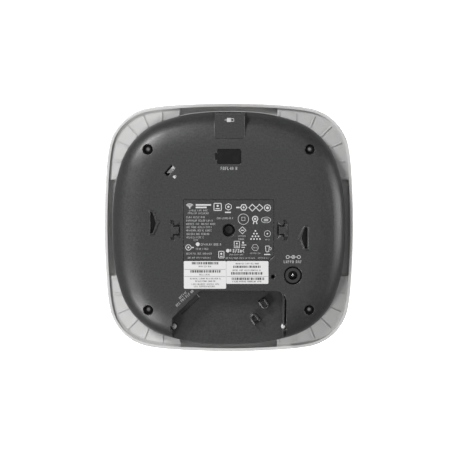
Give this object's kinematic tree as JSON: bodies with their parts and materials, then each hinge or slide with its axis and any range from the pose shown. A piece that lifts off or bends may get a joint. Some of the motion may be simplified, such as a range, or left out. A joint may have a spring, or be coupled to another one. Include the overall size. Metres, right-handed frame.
{
  "type": "ceiling access point",
  "caption": "Rounded-square ceiling access point with a pale front cover, dark rear housing, cable recess, sockets and bracket catches.",
  "frame": {"origin": "mouth of the centre hole in the flat back", "axes": "+Z out of the back, towards the ceiling; +Y towards the side with the USB port; +X completes the right-handed frame; the front face looks along -Z"},
  "size_m": [0.1622, 0.1622, 0.0382],
  "materials": {
    "cover_white": "fine moulded satin",
    "housing_grey": "fine moulded matt texture",
    "screw_dark": "dark nickel plate",
    "board_green": "solder-masked glass laminate",
    "screw_bright": "zinc plate",
    "cast_aluminium": "as cast",
    "thermal_pad": "soft matt",
    "tinned_steel": "tin plate",
    "chip_black": "moulded epoxy",
    "connector_black": "glass-filled nylon",
    "gold_contact": "gold plate",
    "soft_black": "soft matt rubber",
    "connector_grey": "moulded nylon",
    "pin_nickel": "nickel plate",
    "ferrite_grey": "pressed ferrite",
    "led_white": "clear lens over phosphor",
    "clear_acrylic": "polished clear acrylic",
    "label_white": "satin printed film"
  },
  "bodies": {
    "root": {"front_cover": "cover_white", "rear_housing": "housing_grey", "housing_screws": "screw_dark", "main_board": "board_green", "board_screws": "screw_bright", "heat_sink": "cast_aluminium", "heat_sink_screws": "screw_bright", "thermal_pads": "thermal_pad", "radio_shields": "tinned_steel", "processor": "chip_black", "radio_chips": "chip_black", "memory_chips": "chip_black", "antenna_north_west": "tinned_steel", "antenna_north_east": "tinned_steel", "antenna_west": "tinned_steel", "antenna_east": "tinned_steel", "bluetooth_antenna": "tinned_steel", "ethernet_jack_shell": "tinned_steel", "ethernet_jack_insert": "connector_black", "ethernet_contacts": "gold_contact", "ethernet_transformer": "chip_black", "usb_port_shell": "tinned_steel", "usb_port_tongue": "connector_black", "usb_contacts": "gold_contact", "console_port_shell": "tinned_steel", "console_port_tongue": "connector_black", "dc_jack_body": "connector_grey", "dc_jack_pin": "pin_nickel", "dc_jack_contact": "pin_nickel", "reset_switch": "connector_black", "power_capacitors": "cast_aluminium", "power_inductors": "ferrite_grey", "crystal": "tinned_steel", "status_leds": "led_white", "light_pipe": "clear_acrylic", "security_bracket": "tinned_steel", "product_label": "label_white", "serial_label": "label_white"},
    "console_cover": {"console_cover": "soft_black"},
    "reset_plunger": {"reset_plunger": "connector_grey"}
  },
  "joints": [
    {"name": "console_cover_pull", "type": "slide", "parent": "root", "child": "console_cover", "axis": [0, 0, 1], "range_m": [0, 0.008]},
    {"name": "reset_press", "type": "slide", "parent": "root", "child": "reset_plunger", "axis": [0, 0, -1], "range_m": [0, 0.00025], "stiffness_N_per_m": 1500, "springref_m": -0.0004}
  ]
}
